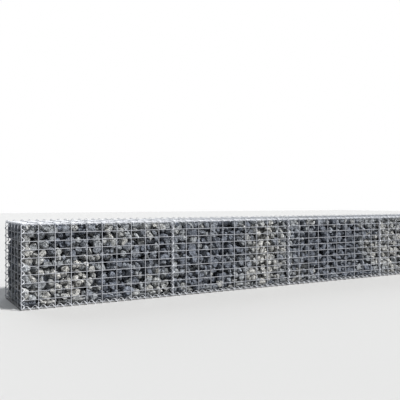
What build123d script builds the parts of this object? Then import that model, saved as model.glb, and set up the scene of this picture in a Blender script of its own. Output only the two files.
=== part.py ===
from build123d import *
import os
from math import cos, hypot, pi, radians, sin, sqrt

# Gabion wall: welded-mesh baskets in a row, filled with broken stone and bound together by wire
# spirals. X runs along the wall, +Y into its depth and +Z up. The origin is on the ground, at the
# middle of the wall. A wire's place is that of its centre line.

# Baskets
bay_count = 4
bay_length = 1000.0  # between the two edge wires of one front panel
basket_depth = 500.0  # from the front uprights to the back uprights
basket_height = 500.0  # from the lowest to the highest row of a front panel
joint_gap = 9.5  # between the edge wires of two neighbouring front panels

# Welded mesh
wire = 4.0
upright_step = 100.0
row_step = 50.0
hidden_upright_step = 200.0  # on the backs, lids and bases, which have every second upright
hidden_row_step = 250.0  # and every fifth row. The diaphragms have this step both ways.
clearance = 0.3  # between wires of different panels that lie side by side

# Spiral binders
spiral_wire = 4.0
spiral_pitch = 50.0
top_spiral_pitch = 100.0  # along the top edges, which have every second turn
spiral_sides = 4  # straight lengths in one turn

# Each panel has its uprights outside and its rows inside, one wire further in. A panel that meets
# the edge of another stands off by both layers of wire, so the two lie side by side. The end
# panels and the diaphragms stand between the front and back panels.
panel_offset = 2 * wire + clearance
inner_face = 1.5 * wire
bay_pitch = bay_length + joint_gap
wall_length = bay_count * bay_length + (bay_count - 1) * joint_gap
inner_depth = basket_depth - 2 * panel_offset
ground = panel_offset + wire / 2
bay_starts = [n * bay_pitch - wall_length / 2 for n in range(bay_count)]
wall_start = -wall_length / 2
wall_finish = wall_length / 2
front = -basket_depth / 2
back = basket_depth / 2
bottom = ground
top = ground + basket_height

# The axis of a joint's spiral is the middle of the circle around the two edge uprights and the
# diaphragm's upright behind them, and one spiral size serves the whole wall.
joint_half_width = (joint_gap + wire) / 2
joint_reach = panel_offset + wire / 2
joint_axis_depth = (joint_reach**2 - joint_half_width**2) / (2 * (joint_reach + wire / 2))
joint_circle = hypot(joint_half_width, joint_axis_depth + wire / 2)
half_side = pi / spiral_sides
spiral_radius = (joint_circle + clearance + spiral_wire / 2) / cos(half_side)

# A corner's spiral is halfway between its two uprights, which stand one behind the other, and
# hangs against their outer sides.
corner_half_depth = (panel_offset + wire) / 2
corner_hold = joint_circle - corner_half_depth * sin(half_side)
corner_axis_inset = corner_hold / cos(half_side) - wire / 2

# A spiral along the top holds the highest row of the front or back and the lid's edge wire over
# it, and stands up from that row.
edge_axis_rise = sqrt(joint_circle**2 - (wire / 2) ** 2) - wire / 2

# The fill is chamfered along its edges, where the spirals turn inside the basket.
fill_chamfer = sqrt(2) * (spiral_radius + spiral_wire / 2 + clearance)


def wire_places(span, step):
    """Centre lines of the wires across a span, the first and last on its two ends."""
    count = max(1, round(span / step))
    return [span * n / count for n in range(count + 1)]


def mesh_panel(width, height, across, up):
    """A welded panel in the XY plane: uprights centred on the plane, rows behind them."""
    panel = Part()
    for x in wire_places(width, across):
        panel += Pos(x, height / 2, 0) * Box(wire, height + wire, wire)
    for y in wire_places(height, up):
        panel += Pos(width / 2, y, -wire) * Box(width + wire, wire, wire)
    return panel


def spiral(length, pitch, start_angle):
    """A helical binder around +Z: a three-sided wire swept with mitres along straight lengths."""
    steps = round(length / pitch * spiral_sides)
    corners = []
    for n in range(steps + 1):
        angle = radians(start_angle) + 2 * pi * n / spiral_sides
        outward = Vector(cos(angle), sin(angle), 0)
        corners.append(outward * spiral_radius + Vector(0, 0, length * n / steps))
    start = Plane(origin=corners[0], z_dir=corners[1] - corners[0])
    section = start * RegularPolygon(radius=spiral_wire / 2, side_count=3)
    return sweep(section, path=Polyline(*corners), transition=Transition.RIGHT)


# Front, back, lid and base panels of one bay, each in its own plane
front_panel = mesh_panel(bay_length, basket_height, upright_step, row_step)
back_panel = mesh_panel(bay_length, basket_height, hidden_upright_step, hidden_row_step)
level_depth = basket_depth - 2 * wire
level_panel = mesh_panel(bay_length, level_depth, hidden_upright_step, hidden_row_step)

pieces = {}
for n, start in enumerate(bay_starts, 1):
    finish = start + bay_length
    front_plane = Plane(origin=(start, front, bottom), x_dir=(1, 0, 0), z_dir=(0, -1, 0))
    back_plane = Plane(origin=(finish, back, bottom), x_dir=(-1, 0, 0), z_dir=(0, 1, 0))
    lid_plane = Plane(
        origin=(start, front + wire, top + panel_offset), x_dir=(1, 0, 0), z_dir=(0, 0, 1)
    )
    base_plane = Plane(
        origin=(start, back - wire, bottom - panel_offset), x_dir=(1, 0, 0), z_dir=(0, 0, -1)
    )
    pieces[f"front_mesh_{n}"] = front_plane * front_panel
    pieces[f"back_mesh_{n}"] = back_plane * back_panel
    pieces[f"lid_mesh_{n}"] = lid_plane * level_panel
    pieces[f"base_mesh_{n}"] = base_plane * level_panel

# End panels at the full pitch of the front, in line with the edge wires of the first front panel
# and of the last
end_panel = mesh_panel(inner_depth, basket_height, upright_step, row_step)
left_plane = Plane(
    origin=(wall_start, back - panel_offset, bottom), x_dir=(0, -1, 0), z_dir=(-1, 0, 0)
)
right_plane = Plane(
    origin=(wall_finish, front + panel_offset, bottom), x_dir=(0, 1, 0), z_dir=(1, 0, 0)
)
pieces["left_end_mesh"] = left_plane * end_panel
pieces["right_end_mesh"] = right_plane * end_panel

# A diaphragm closes each joint between two baskets, just behind the front and back panels.
joints = [start - joint_gap / 2 for start in bay_starts[1:]]
diaphragm = mesh_panel(inner_depth, basket_height, hidden_row_step, hidden_row_step)
for n, joint in enumerate(joints, 1):
    diaphragm_plane = Plane(
        origin=(joint, front + panel_offset, bottom), x_dir=(0, 1, 0), z_dir=(1, 0, 0)
    )
    pieces[f"diaphragm_{n}"] = diaphragm_plane * diaphragm

# Stone fill: one block to a basket, from the rows of its front to the rows of its back
fill_lefts = [wall_start + inner_face] + [joint + wire / 2 for joint in joints]
fill_rights = [joint - inner_face for joint in joints] + [wall_finish - inner_face]
fill_depth = basket_depth - 2 * inner_face
fill_height = basket_height + wire + 2 * clearance
for n, (left, right) in enumerate(zip(fill_lefts, fill_rights), 1):
    block = Box(right - left, fill_depth, fill_height)
    block = chamfer(block.edges(), fill_chamfer)
    pieces[f"stone_fill_{n}"] = Pos((left + right) / 2, 0, (bottom + top) / 2) * block

# Spirals: one at each corner and joint, front and back. A turn is as long as the step of the
# rows, and starts outside the uprights at the height of a row, so it passes between the rows.
spiral_places = [(wall_start + corner_axis_inset, panel_offset / 2, 180)]
spiral_places += [(joint, joint_axis_depth, -90) for joint in joints]
spiral_places += [(wall_finish - corner_axis_inset, panel_offset / 2, 0)]
for n, (x, depth, angle) in enumerate(spiral_places, 1):
    front_spiral = spiral(basket_height, spiral_pitch, angle)
    back_spiral = spiral(basket_height, spiral_pitch, -angle)
    pieces[f"front_spiral_{n}"] = Pos(x, front + depth, bottom) * front_spiral
    pieces[f"back_spiral_{n}"] = Pos(x, back - depth, bottom) * back_spiral

# Spirals along the top edges of each bay: they pass an upright above and outside the edge, the
# front ones on their way down and the back ones on their way up.
for side, y, angle in (("front", front + wire, -45), ("back", back - wire, 225)):
    edge_spiral = spiral(bay_length, top_spiral_pitch, angle)
    for n, start in enumerate(bay_starts, 1):
        edge_plane = Plane(
            origin=(start, y, top + edge_axis_rise), x_dir=(0, -1, 0), z_dir=(1, 0, 0)
        )
        pieces[f"top_{side}_spiral_{n}"] = edge_plane * edge_spiral

os.makedirs("parts", exist_ok=True)
for name, shape in pieces.items():
    export_step(shape, f"parts/{name}.step")
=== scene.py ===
import bpy
import numpy as np
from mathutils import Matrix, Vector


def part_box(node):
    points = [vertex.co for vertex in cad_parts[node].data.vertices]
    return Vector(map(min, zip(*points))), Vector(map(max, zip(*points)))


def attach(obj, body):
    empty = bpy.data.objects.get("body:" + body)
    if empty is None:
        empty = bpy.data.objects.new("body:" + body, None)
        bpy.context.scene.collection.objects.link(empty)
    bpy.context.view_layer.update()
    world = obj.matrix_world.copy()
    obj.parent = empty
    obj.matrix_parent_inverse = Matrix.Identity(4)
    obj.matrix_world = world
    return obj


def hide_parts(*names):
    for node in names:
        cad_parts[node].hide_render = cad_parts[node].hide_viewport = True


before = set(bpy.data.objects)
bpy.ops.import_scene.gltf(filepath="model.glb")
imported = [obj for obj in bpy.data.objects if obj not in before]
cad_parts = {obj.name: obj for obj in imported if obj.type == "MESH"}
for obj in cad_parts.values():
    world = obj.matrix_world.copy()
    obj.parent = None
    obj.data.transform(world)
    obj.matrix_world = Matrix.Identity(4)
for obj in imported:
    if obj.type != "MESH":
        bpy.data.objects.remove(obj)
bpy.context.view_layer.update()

# Stone fill: broken blue-grey rock, 25 to 90 mm long, packed by hand against the mesh. Each stone
# is cut from the space that is nearer to it than to its neighbours, then chipped, so the stones
# lie close without meeting. Two layers of them hide a plain core, the rest of the rubble, coloured
# nearly black as painted shade.
stone_seed = 40
stone_step = np.array([0.044, 0.050, 0.038])
stone_scatter = 0.42  # in steps, as are the next four
side_room = 0.16
mirror_reach = 1.6
mirror_shift = 0.5
edge_mirror_shift = 0.2
stone_size_spread = 0.0011
left_out = 0.14
neighbour_count = 18
least_share = 0.3
planes_around = slice(2, 8)  # from the nearest on
chip_count = 14
deep_chip = 0.60
shallow_chip = 1.0
farthest_chip = 1.25
shrink_range = (0.86, 0.99)
ridge_reach = 0.26
ridge_rounds = 2
wave_count = 5
wave_rate = 3.2
stone_roughness = 0.008
rubble_roughness = 0.004
mesh_room = 0.0005
edge_room = 0.017
foot_room = 0.030
rubble_depth = 0.085
stone_grids = (3, 2)
rubble_grid = 16
sharp_angle = 20
stone_tones = np.array(
    [
        [0.198, 0.220, 0.264],
        [0.274, 0.298, 0.338],
        [0.362, 0.384, 0.408],
        [0.462, 0.475, 0.480],
        [0.575, 0.578, 0.562],
        [0.740, 0.734, 0.700],
    ]
)
tone_cuts = [-0.55, -0.05, 0.38, 0.82, 1.35]
tone_range = (0.86, 1.14)
slow_wave_count = 6
slow_wave_rate = 7
slow_part = 0.20
own_part = 0.42
# Pale ones here are partly paler loads of stone and partly painted sunlit patches; dark ones are
# partly darker loads and partly painted shade.
tone_and_light_batches = [  # place along the wall, height, reach and lift of the tone
    (-1.95, 0.40, 0.08, 1.2),
    (-1.68, 0.17, 0.13, 1.2),
    (-1.20, 0.10, 0.13, 1.1),
    (-0.76, 0.42, 0.10, 1.2),
    (-0.22, 0.22, 0.19, 2.0),
    (0.14, 0.10, 0.12, 1.1),
    (0.93, 0.22, 0.10, 1.2),
    (1.20, 0.28, 0.24, 1.9),
    (-1.68, 0.42, 0.14, -0.6),
    (-1.47, 0.22, 0.12, -0.6),
    (-0.62, 0.22, 0.22, -0.9),
    (0.35, 0.34, 0.24, -0.8),
    (0.62, 0.28, 0.28, -1.1),
]
# The core's colour, nearly black: painted shade in the gaps, not the rock's own tone.
core_painted_shade_tone = [0.036, 0.041, 0.052]
palest_rock = (0.80, 0.80, 0.80)


def ball_grid(squares):
    """A ball as six grids of squares, those of a cube pushed out to it: at u and v on a side of
    the cube, the direction is that of (tan(u pi / 4), tan(v pi / 4), 1). Neighbouring grids share
    points."""
    lattice = np.stack(np.meshgrid(*[np.arange(squares + 1)] * 3, indexing="ij"), axis=-1)
    outside = ((lattice == 0) | (lattice == squares)).any(axis=-1)
    number = np.cumsum(outside).reshape(outside.shape) - 1
    directions = np.tan(np.pi / 4 * (2 * lattice[outside] / squares - 1))
    directions /= np.linalg.norm(directions, axis=1, keepdims=True)
    faces = []
    for axis in range(3):
        for side in (0, squares):
            sheet = np.take(number, side, axis=axis)
            corners = [sheet[:-1, :-1], sheet[1:, :-1], sheet[1:, 1:], sheet[:-1, 1:]]
            outward = (side > 0) != (axis == 1)
            corners = corners if outward else corners[::-1]
            faces.append(np.stack(corners, axis=-1).reshape(-1, 4))
    return directions, np.vstack(faces)


def turned_any_way(count, dice):
    """One rotation matrix a stone, from a unit quaternion drawn evenly over all turns."""
    q = dice.normal(size=(count, 4))
    w, x, y, z = (q / np.linalg.norm(q, axis=1, keepdims=True)).T
    rows = [
        [1 - 2 * (y * y + z * z), 2 * (x * y - w * z), 2 * (x * z + w * y)],
        [2 * (x * y + w * z), 1 - 2 * (x * x + z * z), 2 * (y * z - w * x)],
        [2 * (x * z - w * y), 2 * (y * z + w * x), 1 - 2 * (x * x + y * y)],
    ]
    return np.moveaxis(np.array(rows), 2, 0)


def cut_stones(centres, normals, distances, ball, roughness, dice):
    """Stones as distance from the centre over all directions.

    A flat at distance h with normal n lies at h / (d . n) in direction d, and the stone's reach is
    the smallest of these. A direction close to a ridge, where two flats are equally near, is first
    moved onto it along the difference of their n / h. A few waves make the reach uneven.
    """
    directions = np.einsum("nij,kj->nki", turned_any_way(len(centres), dice), ball)
    flats = normals / distances[:, :, None]
    stone = np.arange(len(centres))[:, None]
    for _ in range(ridge_rounds):
        nearness = np.einsum("nki,nmi->nkm", directions, flats)
        nearest = np.argsort(nearness, axis=2)
        apart = flats[stone, nearest[:, :, -1]] - flats[stone, nearest[:, :, -2]]
        slope = np.linalg.norm(apart, axis=2, keepdims=True)
        away = (apart * directions).sum(axis=2, keepdims=True) / slope
        directions = directions - np.where(away < ridge_reach, away, 0) * apart / slope
        directions /= np.linalg.norm(directions, axis=2, keepdims=True)
    reach = 1 / np.einsum("nki,nmi->nkm", directions, flats).max(axis=2)
    waves = dice.normal(size=(len(centres), wave_count, 3)) * wave_rate
    phases = dice.uniform(0, 2 * np.pi, size=(len(centres), 1, wave_count))
    uneven = np.sin(np.einsum("nki,nwi->nkw", directions, waves) + phases).sum(axis=2)
    reach *= 1 + roughness * uneven
    return centres[:, None, :] + reach[:, :, None] * directions


def tone_kinds(centres, front, dice):
    """Which tone each stone has. Stones of one load lie together, so the choice is a sum of slow
    waves over the basket, a part of the stone's own and, at distance d from the middle of a pale or
    dark batch of reach r at the front, its lift times exp(-(d / r)^2). A pale batch is partly a
    paler load and partly painted sunlight, a dark one partly a darker load and partly painted
    shade. Fixed levels cut it."""
    waves = dice.normal(size=(slow_wave_count, 3)) * slow_wave_rate
    phases = dice.uniform(0, 2 * np.pi, size=slow_wave_count)
    slow = np.sin(centres @ waves.T + phases).sum(axis=1)
    choice = slow_part * slow + own_part * dice.normal(size=len(centres))
    for x, z, reach, lift in tone_and_light_batches:
        distance = np.linalg.norm(centres - (x, front, z), axis=1)
        choice += lift * np.exp(-((distance / reach) ** 2))
    return np.searchsorted(tone_cuts, choice)


def stone_places(low, high, dice):
    """Centres of the stones, and the step of their grid: it is staggered by a quarter of a step
    each way, level by level, and each centre is moved at random. A few are left out, but none along
    the edges, and the stones around them are larger."""
    counts = np.round((high - low) / stone_step).astype(int)
    step = (high - low) / counts
    cells = np.stack(np.meshgrid(*map(np.arange, counts), indexing="ij"), axis=-1).reshape(-1, 3)
    places = cells + 0.5 + dice.uniform(-stone_scatter, stone_scatter, size=cells.shape)
    places[:, 0] += 0.5 * (cells[:, 2] % 2) - 0.25
    places = np.clip(places, side_room, counts - side_room)
    at_edge = ((cells == 0) | (cells == counts - 1)).sum(axis=1) > 1
    kept = at_edge | (dice.random(len(places)) > left_out)
    return low + places[kept] * step, step


def mirrored_in_mesh(places, second_depth, low, high, step, dice):
    """The places and copies of the outer ones beyond each side of the basket, a little to one side
    and less so along its edges, which leave each outer stone a face that leans against the mesh."""
    copies = []
    for axis in range(3):
        for side in (low, high):
            outer = np.abs(places[:, axis] - side[axis]) < mirror_reach * step[axis]
            shift = np.where(second_depth[outer] < 1, edge_mirror_shift, mirror_shift)
            near = places[outer] + dice.normal(size=(outer.sum(), 3)) * shift[:, None] * step
            near[:, axis] = 2 * side[axis] - near[:, axis]
            copies.append(near)
    return np.vstack([places] + copies)


def neighbour_flats(centres, sizes, others, other_sizes, chip_depth, dice):
    """Planes between a stone and its nearest neighbours, and chips off its corners anywhere.

    A plane lies at half the distance, plus the difference of the two sizes over twice it, but no
    nearer than the least share of it. A chip lies at a random share, from the stone's chip depth
    to the farthest, of the mean distance of the planes around it.
    """
    apart = others[None, :, :] - centres[:, None, :]
    length = np.linalg.norm(apart, axis=2)
    length[length == 0] = np.inf
    nearest = np.argsort(length, axis=1)[:, :neighbour_count]
    length = np.take_along_axis(length, nearest, axis=1)
    normals = np.take_along_axis(apart, nearest[:, :, None], axis=1) / length[:, :, None]
    larger = (sizes[:, None] - other_sizes[nearest]) / (2 * length)
    halfway = np.maximum(length / 2 + larger, least_share * length)
    chips = dice.normal(size=(len(centres), chip_count, 3))
    chips /= np.linalg.norm(chips, axis=2, keepdims=True)
    size = np.sort(halfway, axis=1)[:, planes_around].mean(axis=1, keepdims=True)
    shares = dice.uniform(chip_depth[:, None], farthest_chip, size=(len(centres), chip_count))
    return np.concatenate([normals, chips], axis=1), np.hstack([halfway, size * shares])


def clear_of_spirals(points, low, high):
    """Points kept inside the basket, and off its edges by a chamfer where the spirals turn, a
    wider one along the foot. What passes it is moved back by half its excess along each axis."""
    middle, half = (low + high) / 2, (high - low) / 2 - mesh_room
    side = np.sign(points - middle)
    out = np.minimum(np.abs(points - middle), half)
    for one, two in ((0, 1), (0, 2), (1, 2)):
        foot = (one == 1) & (side[..., 2] < 0)
        limit = half[one] + half[two] - np.where(foot, foot_room, edge_room)
        excess = np.maximum(out[..., one] + out[..., two] - limit, 0)
        out[..., one] -= excess / 2
        out[..., two] -= excess / 2
    return middle + side * out


def piece_from(name, points, faces):
    """A piece at the origin with these points and groups of faces, smooth up to the sharp angle."""
    mesh = bpy.data.meshes.new(name)
    mesh.from_pydata(points.tolist(), [], [face for group in faces for face in group.tolist()])
    mesh.shade_smooth()
    mesh.set_sharp_from_angle(angle=np.radians(sharp_angle))
    piece = bpy.data.objects.new(name, mesh)
    bpy.context.scene.collection.objects.link(piece)
    return piece


def stone_material():
    """Broken rock: each stone's own tone, mottled, broken in small facets that tilt and shade each
    in its own way, with a fine grain, paler where it faces up and darker where it faces down:
    painted light from above and painted shade beneath."""
    material = bpy.data.materials.new("broken_rock")
    material.use_nodes = True
    nodes, links = material.node_tree.nodes, material.node_tree.links
    shader = nodes["Principled BSDF"]
    place = nodes.new("ShaderNodeTexCoord").outputs["Object"]
    tone = nodes.new("ShaderNodeAttribute")
    tone.attribute_name = "stone_tone"

    def noise(scale, detail, roughness):
        node = nodes.new("ShaderNodeTexNoise")
        node.inputs["Scale"].default_value = scale
        node.inputs["Detail"].default_value = detail
        node.inputs["Roughness"].default_value = roughness
        links.new(place, node.inputs["Vector"])
        return node.outputs["Fac"]

    def vector(operation, *values):
        node = nodes.new("ShaderNodeVectorMath")
        node.operation = operation
        for value, socket in zip(values, node.inputs):
            if isinstance(value, tuple):
                socket.default_value = value
            else:
                links.new(value, socket)
        return node.outputs["Value" if operation == "DOT_PRODUCT" else "Vector"]

    def spread(value, low, high, start=0.3, end=0.7):
        """The value from start to end as a factor from low to high."""
        node = nodes.new("ShaderNodeMapRange")
        node.inputs["From Min"].default_value = start
        node.inputs["From Max"].default_value = end
        node.inputs["To Min"].default_value = low
        node.inputs["To Max"].default_value = high
        links.new(value, node.inputs["Value"])
        return node.outputs["Result"]

    def times(colour, factor):
        node = nodes.new("ShaderNodeVectorMath")
        node.operation = "SCALE"
        links.new(colour, node.inputs[0])
        links.new(factor, node.inputs["Scale"])
        return node.outputs["Vector"]

    def facets(scale):
        """Flats about 1 / scale wide: the height over one is its own slope times the way from its
        middle. Also a random shade for each."""
        cells = nodes.new("ShaderNodeTexVoronoi")
        cells.inputs["Scale"].default_value = scale
        links.new(place, cells.inputs["Vector"])
        slope = vector("SUBTRACT", cells.outputs["Color"], (0.5, 0.5, 0.5))
        from_middle = vector("SUBTRACT", place, cells.outputs["Position"])
        shade = nodes.new("ShaderNodeSeparateXYZ")
        links.new(cells.outputs["Color"], shade.inputs["Vector"])
        return vector("DOT_PRODUCT", slope, from_middle), shade.outputs["X"]

    def bump(height, distance, strength, normal=None):
        node = nodes.new("ShaderNodeBump")
        node.inputs["Strength"].default_value = strength
        node.inputs["Distance"].default_value = distance
        links.new(height, node.inputs["Height"])
        if normal:
            links.new(normal, node.inputs["Normal"])
        return node.outputs["Normal"]

    broad_height, broad_shade = facets(scale=58)
    small_height, small_shade = facets(scale=135)
    mottled = noise(scale=38, detail=6, roughness=0.62)
    grain = noise(scale=420, detail=3, roughness=0.7)
    worn = noise(scale=160, detail=4, roughness=0.6)
    pitted = noise(scale=260, detail=6, roughness=0.7)
    facing = nodes.new("ShaderNodeSeparateXYZ")
    links.new(nodes.new("ShaderNodeNewGeometry").outputs["Normal"], facing.inputs["Vector"])
    colour = times(tone.outputs["Color"], spread(mottled, low=0.70, high=1.35))
    colour = times(colour, spread(broad_shade, low=0.52, high=1.48, start=0, end=1))
    colour = times(colour, spread(small_shade, low=0.60, high=1.40, start=0, end=1))
    colour = times(colour, spread(grain, low=0.82, high=1.18))
    # Paler where it faces up and darker where it faces down: painted light and painted shade.
    colour = times(colour, spread(facing.outputs["Z"], low=0.86, high=1.22, start=-0.7, end=0.9))
    links.new(vector("MINIMUM", colour, palest_rock), shader.inputs["Base Color"])
    links.new(spread(worn, low=0.72, high=0.96), shader.inputs["Roughness"])
    shader.inputs["Specular IOR Level"].default_value = 0.35
    normal = bump(broad_height, distance=2.2, strength=1.0)
    normal = bump(small_height, distance=1.8, strength=0.8, normal=normal)
    normal = bump(pitted, distance=0.0025, strength=0.6, normal=normal)
    links.new(normal, shader.inputs["Normal"])
    return material


broken_rock = stone_material()
fills = sorted(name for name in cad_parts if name.startswith("stone_fill"))
for number, fill in enumerate(fills, 1):
    dice = np.random.default_rng(stone_seed + number)
    low, high = (np.array(corner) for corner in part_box(fill))
    places, step = stone_places(low, high, dice)
    depths = np.sort(np.minimum(places - low, high - places) / step, axis=1)
    depth, second_depth = depths[:, 0], depths[:, 1]
    others = mirrored_in_mesh(places, second_depth, low, high, step, dice)
    other_sizes = dice.uniform(0, stone_size_spread, size=len(others))
    points, faces, tones, filled = [], [], [], 0
    for layer, squares in enumerate(stone_grids):
        ball, ball_faces = ball_grid(squares)
        chosen = np.flatnonzero((depth >= layer) & (depth < layer + 1))
        centres = places[chosen]
        at_edge = (layer == 0) & (second_depth[chosen] < 1)
        # Chips go deep on the faces of the basket, but not along its edges or inside
        chip_depth = np.where((layer == 0) & ~at_edge, deep_chip, shallow_chip)
        normals, distances = neighbour_flats(
            centres, other_sizes[chosen], others, other_sizes, chip_depth, dice
        )
        shrink = dice.uniform(*shrink_range, size=len(centres))
        distances *= np.where(at_edge, 1.0, shrink)[:, None]
        stones = cut_stones(centres, normals, distances, ball, stone_roughness, dice)
        stones = clear_of_spirals(stones, low, high)
        first = filled + len(ball) * np.arange(len(centres))
        faces.append((first[:, None, None] + ball_faces).reshape(-1, 4))
        tone = stone_tones[tone_kinds(centres, low[1], dice)]
        tone = tone * dice.uniform(*tone_range, size=(len(centres), 1))
        tones.append(np.repeat(tone, len(ball), axis=0))
        points.append(stones.reshape(-1, 3))
        filled += len(points[-1])
    ball, ball_faces = ball_grid(rubble_grid)
    walls = np.vstack([np.eye(3), -np.eye(3)])[None]
    half = ((high - low) / 2 - rubble_depth)[None]
    middle = ((low + high) / 2)[None]
    distances = np.hstack([half, half])
    rubble = cut_stones(middle, walls, distances, ball, rubble_roughness, dice)[0]
    faces.append(filled + ball_faces)
    points.append(rubble)
    tones.append(np.tile(core_painted_shade_tone, (len(rubble), 1)))
    piece = piece_from(f"stones_{number}", np.vstack(points), faces)
    colours = np.hstack([np.vstack(tones), np.ones((len(piece.data.vertices), 1))])
    attribute = piece.data.attributes.new("stone_tone", "FLOAT_COLOR", "POINT")
    attribute.data.foreach_set("color", colours.ravel())
    piece.data.materials.append(broken_rock)
    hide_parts(fill)
    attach(piece, "root")

# Welded mesh: hard-drawn 4 mm steel wire, straight uprights every 100 mm welded over rows every
# 50 mm and hot-dip galvanised. Fronts, backs, lids, bases, ends and diaphragms are all made of it,
# with the uprights outside. The lids get a paler copy of the zinc, painted light on the top, and
# the bases a much darker one.
mesh_seed = 5
wire = 0.004
upright_step = 0.100
row_step = 0.050
weld_sink = 0.0005
wire_bow = 0.0007
wire_steps = 7
wire_sides = 8
dull_shade = 0.80
bright_shade = 1.12


def tube(paths, radius, sides, reference):
    """Wires as rings carried along paths: a ring's points lie at radius around the path, from the
    side vector (reference x direction) towards the direction crossed with it. Ends are closed."""
    along = np.gradient(paths, axis=1)
    along /= np.linalg.norm(along, axis=2, keepdims=True)
    side = np.cross(np.broadcast_to(reference, along.shape), along)
    side /= np.linalg.norm(side, axis=2, keepdims=True)
    other = np.cross(along, side)
    angle = np.arange(sides) * 2 * np.pi / sides
    cosine, sine = np.cos(angle)[:, None], np.sin(angle)[:, None]
    around = cosine * side[:, :, None, :] + sine * other[:, :, None, :]
    points = paths[:, :, None, :] + radius * around
    count, steps = paths.shape[:2]
    first = np.arange(count)[:, None, None] * steps * sides
    ring = first + np.arange(steps - 1)[None, :, None] * sides
    here = ring + np.arange(sides)
    there = ring + (np.arange(sides) + 1) % sides
    walls = np.stack([here, there, there + sides, here + sides], axis=-1).reshape(-1, 4)
    start = first[:, 0] + np.arange(sides)[::-1]
    finish = first[:, 0] + (steps - 1) * sides + np.arange(sides)
    return points.reshape(-1, 3), [walls, start, finish]


def straight_wires(starts, finishes, bow, sag, dice):
    """Paths from start to finish: a straight line plus a shallow arc, one half wave of a sine. A
    wire bows either way by up to bow and inwards by up to sag."""
    s = np.linspace(0, 1, wire_steps)[None, :, None]
    amount = dice.uniform(-1, 1, size=(len(starts), 1, 1))
    inward = dice.uniform(0, 1, size=(len(starts), 1, 1))
    arc = np.sin(np.pi * s) * (amount * bow + inward * sag)
    return starts[:, None, :] * (1 - s) + finishes[:, None, :] * s + arc


def mesh_panel(node, outward, up, dice):
    """Both layers of a panel's wires in the CAD node's box: uprights outside, rows one wire in."""
    low, high = (np.array(corner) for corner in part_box(node))
    outward, up = np.array(outward, float), np.array(up, float)
    across = np.abs(np.cross(up, outward))
    middle = (low + high) / 2
    half = (high - low) / 2
    face = middle + outward * (np.abs(half @ outward) - wire / 2)
    width, height = 2 * (half @ across) - wire, 2 * (half @ up) - wire
    layers = []
    for run, cross, length, span, step, depth in (
        (up, across, height, width, upright_step, 0),
        (across, up, width, height, row_step, wire - weld_sink),
    ):
        count = round(span / step) + 1
        offsets = np.linspace(-span / 2, span / 2, count)[:, None] * cross
        centres = face + offsets - outward * depth
        reach = run * (length + wire) / 2
        bow, sag = wire_bow * cross, -wire_bow * outward
        layers.append(straight_wires(centres - reach, centres + reach, bow, sag, dice))
    parts = [tube(paths, wire / 2, wire_sides, outward) for paths in layers]
    shift = len(parts[0][0])
    points = np.vstack([parts[0][0], parts[1][0]])
    return points, parts[0][1] + [shift + group for group in parts[1][1]]


def zinc_material(name, colour, painted_top_shade):
    """Galvanised wire: grey zinc with faint crystals and dull patches, a little rough, and darker
    where it faces up, by the given factor: painted shade on its upper side."""
    material = bpy.data.materials.new(name)
    material.use_nodes = True
    nodes, links = material.node_tree.nodes, material.node_tree.links
    shader = nodes["Principled BSDF"]
    coordinates = nodes.new("ShaderNodeTexCoord")
    crystals = nodes.new("ShaderNodeTexVoronoi")
    crystals.inputs["Scale"].default_value = 260
    dull = nodes.new("ShaderNodeTexNoise")
    dull.inputs["Scale"].default_value = 45
    dull.inputs["Detail"].default_value = 5
    for texture in (crystals, dull):
        links.new(coordinates.outputs["Object"], texture.inputs["Vector"])
    ramp = nodes.new("ShaderNodeValToRGB")
    ramp.color_ramp.elements[0].position = 0.30
    ramp.color_ramp.elements[0].color = [c * dull_shade for c in colour] + [1]
    ramp.color_ramp.elements[1].position = 0.68
    ramp.color_ramp.elements[1].color = [c * bright_shade for c in colour] + [1]
    mix = nodes.new("ShaderNodeMath")
    mix.operation = "MULTIPLY_ADD"
    mix.inputs[1].default_value = 0.25
    links.new(crystals.outputs["Distance"], mix.inputs[0])
    links.new(dull.outputs["Fac"], mix.inputs[2])
    links.new(mix.outputs["Value"], ramp.inputs["Fac"])
    facing = nodes.new("ShaderNodeSeparateXYZ")
    links.new(nodes.new("ShaderNodeNewGeometry").outputs["Normal"], facing.inputs["Vector"])
    # Painted shade: the colour falls to the given factor where the wire faces up.
    top_shade_map = nodes.new("ShaderNodeMapRange")
    top_shade_map.inputs["From Min"].default_value = -0.2
    top_shade_map.inputs["To Min"].default_value = 1
    top_shade_map.inputs["To Max"].default_value = painted_top_shade
    links.new(facing.outputs["Z"], top_shade_map.inputs["Value"])
    top_shaded = nodes.new("ShaderNodeVectorMath")
    top_shaded.operation = "SCALE"
    links.new(ramp.outputs["Color"], top_shaded.inputs[0])
    links.new(top_shade_map.outputs["Result"], top_shaded.inputs["Scale"])
    links.new(top_shaded.outputs["Vector"], shader.inputs["Base Color"])
    rough = nodes.new("ShaderNodeMapRange")
    rough.inputs["To Min"].default_value = 0.60
    rough.inputs["To Max"].default_value = 0.85
    links.new(dull.outputs["Fac"], rough.inputs["Value"])
    links.new(rough.outputs["Result"], shader.inputs["Roughness"])
    shader.inputs["Metallic"].default_value = 0.20
    shader.inputs["Specular IOR Level"].default_value = 0.30
    bump = nodes.new("ShaderNodeBump")
    bump.inputs["Strength"].default_value = 0.25
    bump.inputs["Distance"].default_value = 0.0003
    links.new(dull.outputs["Fac"], bump.inputs["Height"])
    links.new(bump.outputs["Normal"], shader.inputs["Normal"])
    return material


# The mesh is darker where it faces up: painted shade on the tops of the wires.
zinc = zinc_material("galvanised_mesh", [0.57, 0.59, 0.64], painted_top_shade=0.35)
# A paler copy of the same zinc for the lids: painted light on the top of the wall.
lit_lid_zinc = zinc_material("galvanised_lid_painted_light", [0.66, 0.68, 0.72], painted_top_shade=0.92)
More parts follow.
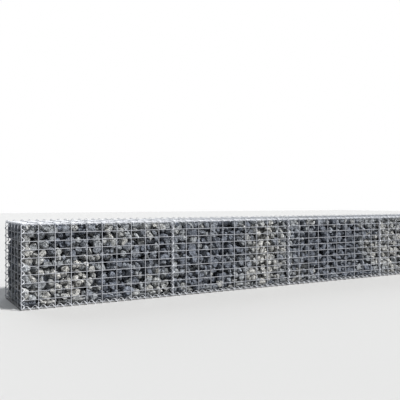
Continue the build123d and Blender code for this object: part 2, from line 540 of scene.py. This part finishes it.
# The bases' wires are made much darker than the rest of the zinc.
base_zinc = zinc_material("dark_base_zinc", [0.20, 0.20, 0.20], painted_top_shade=0.80)
panel_zinc = {"lid_mesh": lit_lid_zinc, "base_mesh": base_zinc}
panel_sides = {  # outwards and up
    "front_mesh": ((0, -1, 0), (0, 0, 1)),
    "back_mesh": ((0, 1, 0), (0, 0, 1)),
    "lid_mesh": ((0, 0, 1), (0, 1, 0)),
    "base_mesh": ((0, 0, -1), (0, 1, 0)),
    "left_end_mesh": ((-1, 0, 0), (0, 0, 1)),
    "right_end_mesh": ((1, 0, 0), (0, 0, 1)),
    "diaphragm": ((1, 0, 0), (0, 0, 1)),
}
dice = np.random.default_rng(mesh_seed)
for node in sorted(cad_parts):
    side = next((side for side in panel_sides if node.startswith(side)), None)
    if side is None:
        continue
    piece = piece_from(f"{node}_wires", *mesh_panel(node, *panel_sides[side], dice))
    piece.data.materials.append(panel_zinc.get(side, zinc))
    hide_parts(node)
    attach(piece, "root")

# Spiral binders: coils of the same galvanised wire, screwed along the edges so that they catch the
# edge wires of the panels that meet there. One turn is as long as the step of the mesh's rows, and
# the cut ends are bent in around the edge wire. The coils' zinc is a paler copy: painted light.
coil_radius = 0.0112
coil_pitch = 0.050
coil_steps = 14
coil_sides = 6
crimp_turns = 0.30
crimp_depth = 0.55


def coil(start, finish, first_angle, right, up):
    """A helix from start to finish: at t turns it lies at radius R from the axis, at the first
    angle plus t turns from right towards up. R shrinks by (1 - n)^2 of the crimp's depth, where n
    is the way to the nearer end over the crimp's length."""
    start, finish, right, up = (np.array(v, float) for v in (start, finish, right, up))
    length = np.linalg.norm(finish - start)
    turns = round(length / coil_pitch)
    t = np.linspace(0, turns, turns * coil_steps + 1)
    angle = np.radians(first_angle) + 2 * np.pi * t
    near_end = np.minimum(t, turns - t) / crimp_turns
    closed = 1 - crimp_depth * np.clip(1 - near_end, 0, 1) ** 2
    radius = (coil_radius * closed)[:, None]
    round_axis = np.cos(angle)[:, None] * right + np.sin(angle)[:, None] * up
    path = start + (finish - start) * (t / turns)[:, None] + radius * round_axis
    return tube(path[None], wire / 2, coil_sides, (finish - start) / length)


# A paler copy of the mesh's zinc: painted light on the coils.
lit_spiral_zinc = zinc_material("galvanised_spiral", [0.76, 0.78, 0.82], painted_top_shade=0.95)


def add_spiral(name, points, faces, node=None):
    """A coil's piece, in place of its CAD node where it has one."""
    piece = piece_from(name, points, faces)
    piece.data.materials.append(lit_spiral_zinc)
    if node:
        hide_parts(node)
    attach(piece, "root")


# The coils are wider than what they bind and hang to one side of it: over the first cell at the
# ends of the wall, where they hold two uprights that stand one behind the other, and to the left at
# the joints.
uprights_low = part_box("front_mesh_1")[0][2] + wire / 2
uprights_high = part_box("front_mesh_1")[1][2] - wire / 2
wall_edges = [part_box("front_mesh_1")[0][0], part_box(f"front_mesh_{len(fills)}")[1][0]]
joint_slack = (-0.0025, 0.0006)
corner_slack = 0.0022
corner_reach = 0.05
for node in sorted(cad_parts):
    if "spiral" not in node or node.startswith("top"):
        continue
    low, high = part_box(node)
    facing = 1 if node.startswith("front") else -1
    x, y = (low[0] + high[0]) / 2, (low[1] + high[1]) / 2
    if min(abs(x - edge) for edge in wall_edges) < corner_reach:
        x -= np.sign(x) * corner_slack
    else:
        x, y = x + joint_slack[0], y + facing * joint_slack[1]
    start, finish = (x, y, uprights_low), (x, y, uprights_high)
    outside = -90 * facing
    add_spiral(f"{node}_coil", *coil(start, finish, outside, (1, 0, 0), (0, 1, 0)), node)

# The long edges: the top coils stand up from the highest rows of the front and back, and the bottom
# ones stand on the floor around the base's edge wires. All pass the uprights outside the edge.
coil_reach = coil_radius + wire / 2
top_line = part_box("top_front_spiral_1")[1][2] - coil_reach
edge_lines = {  # place and height of the axis, and the first angle
    "top_front": (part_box("lid_mesh_1")[0][1] + wire / 2, top_line, 135),
    "top_back": (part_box("lid_mesh_1")[1][1] - wire / 2, top_line, 45),
    "bottom_front": (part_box("base_mesh_1")[0][1] + wire / 2, coil_reach, 225),
    "bottom_back": (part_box("base_mesh_1")[1][1] - wire / 2, coil_reach, 315),
}
for edge, (y, z, angle) in edge_lines.items():
    for number in range(1, len(fills) + 1):
        low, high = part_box(f"front_mesh_{number}")
        start, finish = (low[0] + wire / 2, y, z), (high[0] - wire / 2, y, z)
        node = f"{edge}_spiral_{number}"
        edge_coil = coil(start, finish, angle, (0, 1, 0), (0, 0, 1))
        add_spiral(f"{node}_coil", *edge_coil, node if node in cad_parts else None)

# Floor: plain, wide enough to reach the horizon, and pale to the camera. It throws less light back
# on the wall than it shows, as a darker floor would.
floor_size = 60
shown_floor = 0.66
lit_floor = 0.28
bpy.ops.mesh.primitive_plane_add(size=floor_size, location=(0, 0, 0))
floor = bpy.context.object
floor.name = "floor"
pale = bpy.data.materials.new("pale_floor")
pale.use_nodes = True
nodes, links = pale.node_tree.nodes, pale.node_tree.links
floor_tone = nodes.new("ShaderNodeMapRange")
floor_tone.inputs["To Min"].default_value = lit_floor
floor_tone.inputs["To Max"].default_value = shown_floor
links.new(nodes.new("ShaderNodeLightPath").outputs["Is Camera Ray"], floor_tone.inputs["Value"])
links.new(floor_tone.outputs["Result"], nodes["Principled BSDF"].inputs["Base Color"])
nodes["Principled BSDF"].inputs["Roughness"].default_value = 0.9
floor.data.materials.append(pale)

# Light: a dim even sky, a lamp high in front and to the right, and two broad weak ones lower down,
# in front and behind. The left end is in shade. The background is white to the camera, in
# reflections and through what is clear.
world = bpy.data.worlds.new("studio")
bpy.context.scene.world = world
world.use_nodes = True
nodes, links = world.node_tree.nodes, world.node_tree.links
sky = nodes["Background"]
sky.inputs["Color"].default_value = (0.90, 0.95, 1.0, 1)
sky.inputs["Strength"].default_value = 0.18
white = nodes.new("ShaderNodeBackground")
white.inputs["Color"].default_value = (1, 1, 1, 1)
white.inputs["Strength"].default_value = 1
path = nodes.new("ShaderNodeLightPath")
seen = path.outputs["Is Camera Ray"]
for ray in ("Is Glossy Ray", "Is Transmission Ray"):
    either = nodes.new("ShaderNodeMath")
    either.operation = "MAXIMUM"
    links.new(seen, either.inputs[0])
    links.new(path.outputs[ray], either.inputs[1])
    seen = either.outputs["Value"]
mix = nodes.new("ShaderNodeMixShader")
links.new(seen, mix.inputs["Fac"])
links.new(sky.outputs["Background"], mix.inputs[1])
links.new(white.outputs["Background"], mix.inputs[2])
links.new(mix.outputs["Shader"], nodes["World Output"].inputs["Surface"])

lamps = {  # strength, width in degrees, colour and turn in degrees
    "high_lamp": (4.3, 6, (1.0, 0.985, 0.96), (37, 39, 0)),
    "front_lamp": (0.35, 60, (0.92, 0.96, 1.0), (58, 24, 0)),
    "back_lamp": (0.90, 60, (0.92, 0.96, 1.0), (-62, 0, 0)),
}
for name, (energy, spread, colour, turn) in lamps.items():
    lamp = bpy.data.lights.new(name, "SUN")
    lamp.energy = energy
    lamp.angle = np.radians(spread)
    lamp.color = colour
    lamp_object = bpy.data.objects.new(name, lamp)
    lamp_object.rotation_euler = np.radians(turn)
    bpy.context.scene.collection.objects.link(lamp_object)

# Camera: level and low, a little above the wall, looking along it from in front of its left end.
camera = bpy.data.cameras.new("camera")
camera.sensor_width = 36
camera.lens = 48.6
camera.shift_y = 0.0057
camera_object = bpy.data.objects.new("camera", camera)
camera_object.location = (-2.685, -3.554, 0.645)
camera_object.rotation_euler = (np.radians(90), 0, np.radians(-29.78))
bpy.context.scene.collection.objects.link(camera_object)
bpy.context.scene.camera = camera_object
bpy.context.scene.view_settings.view_transform = "Standard"
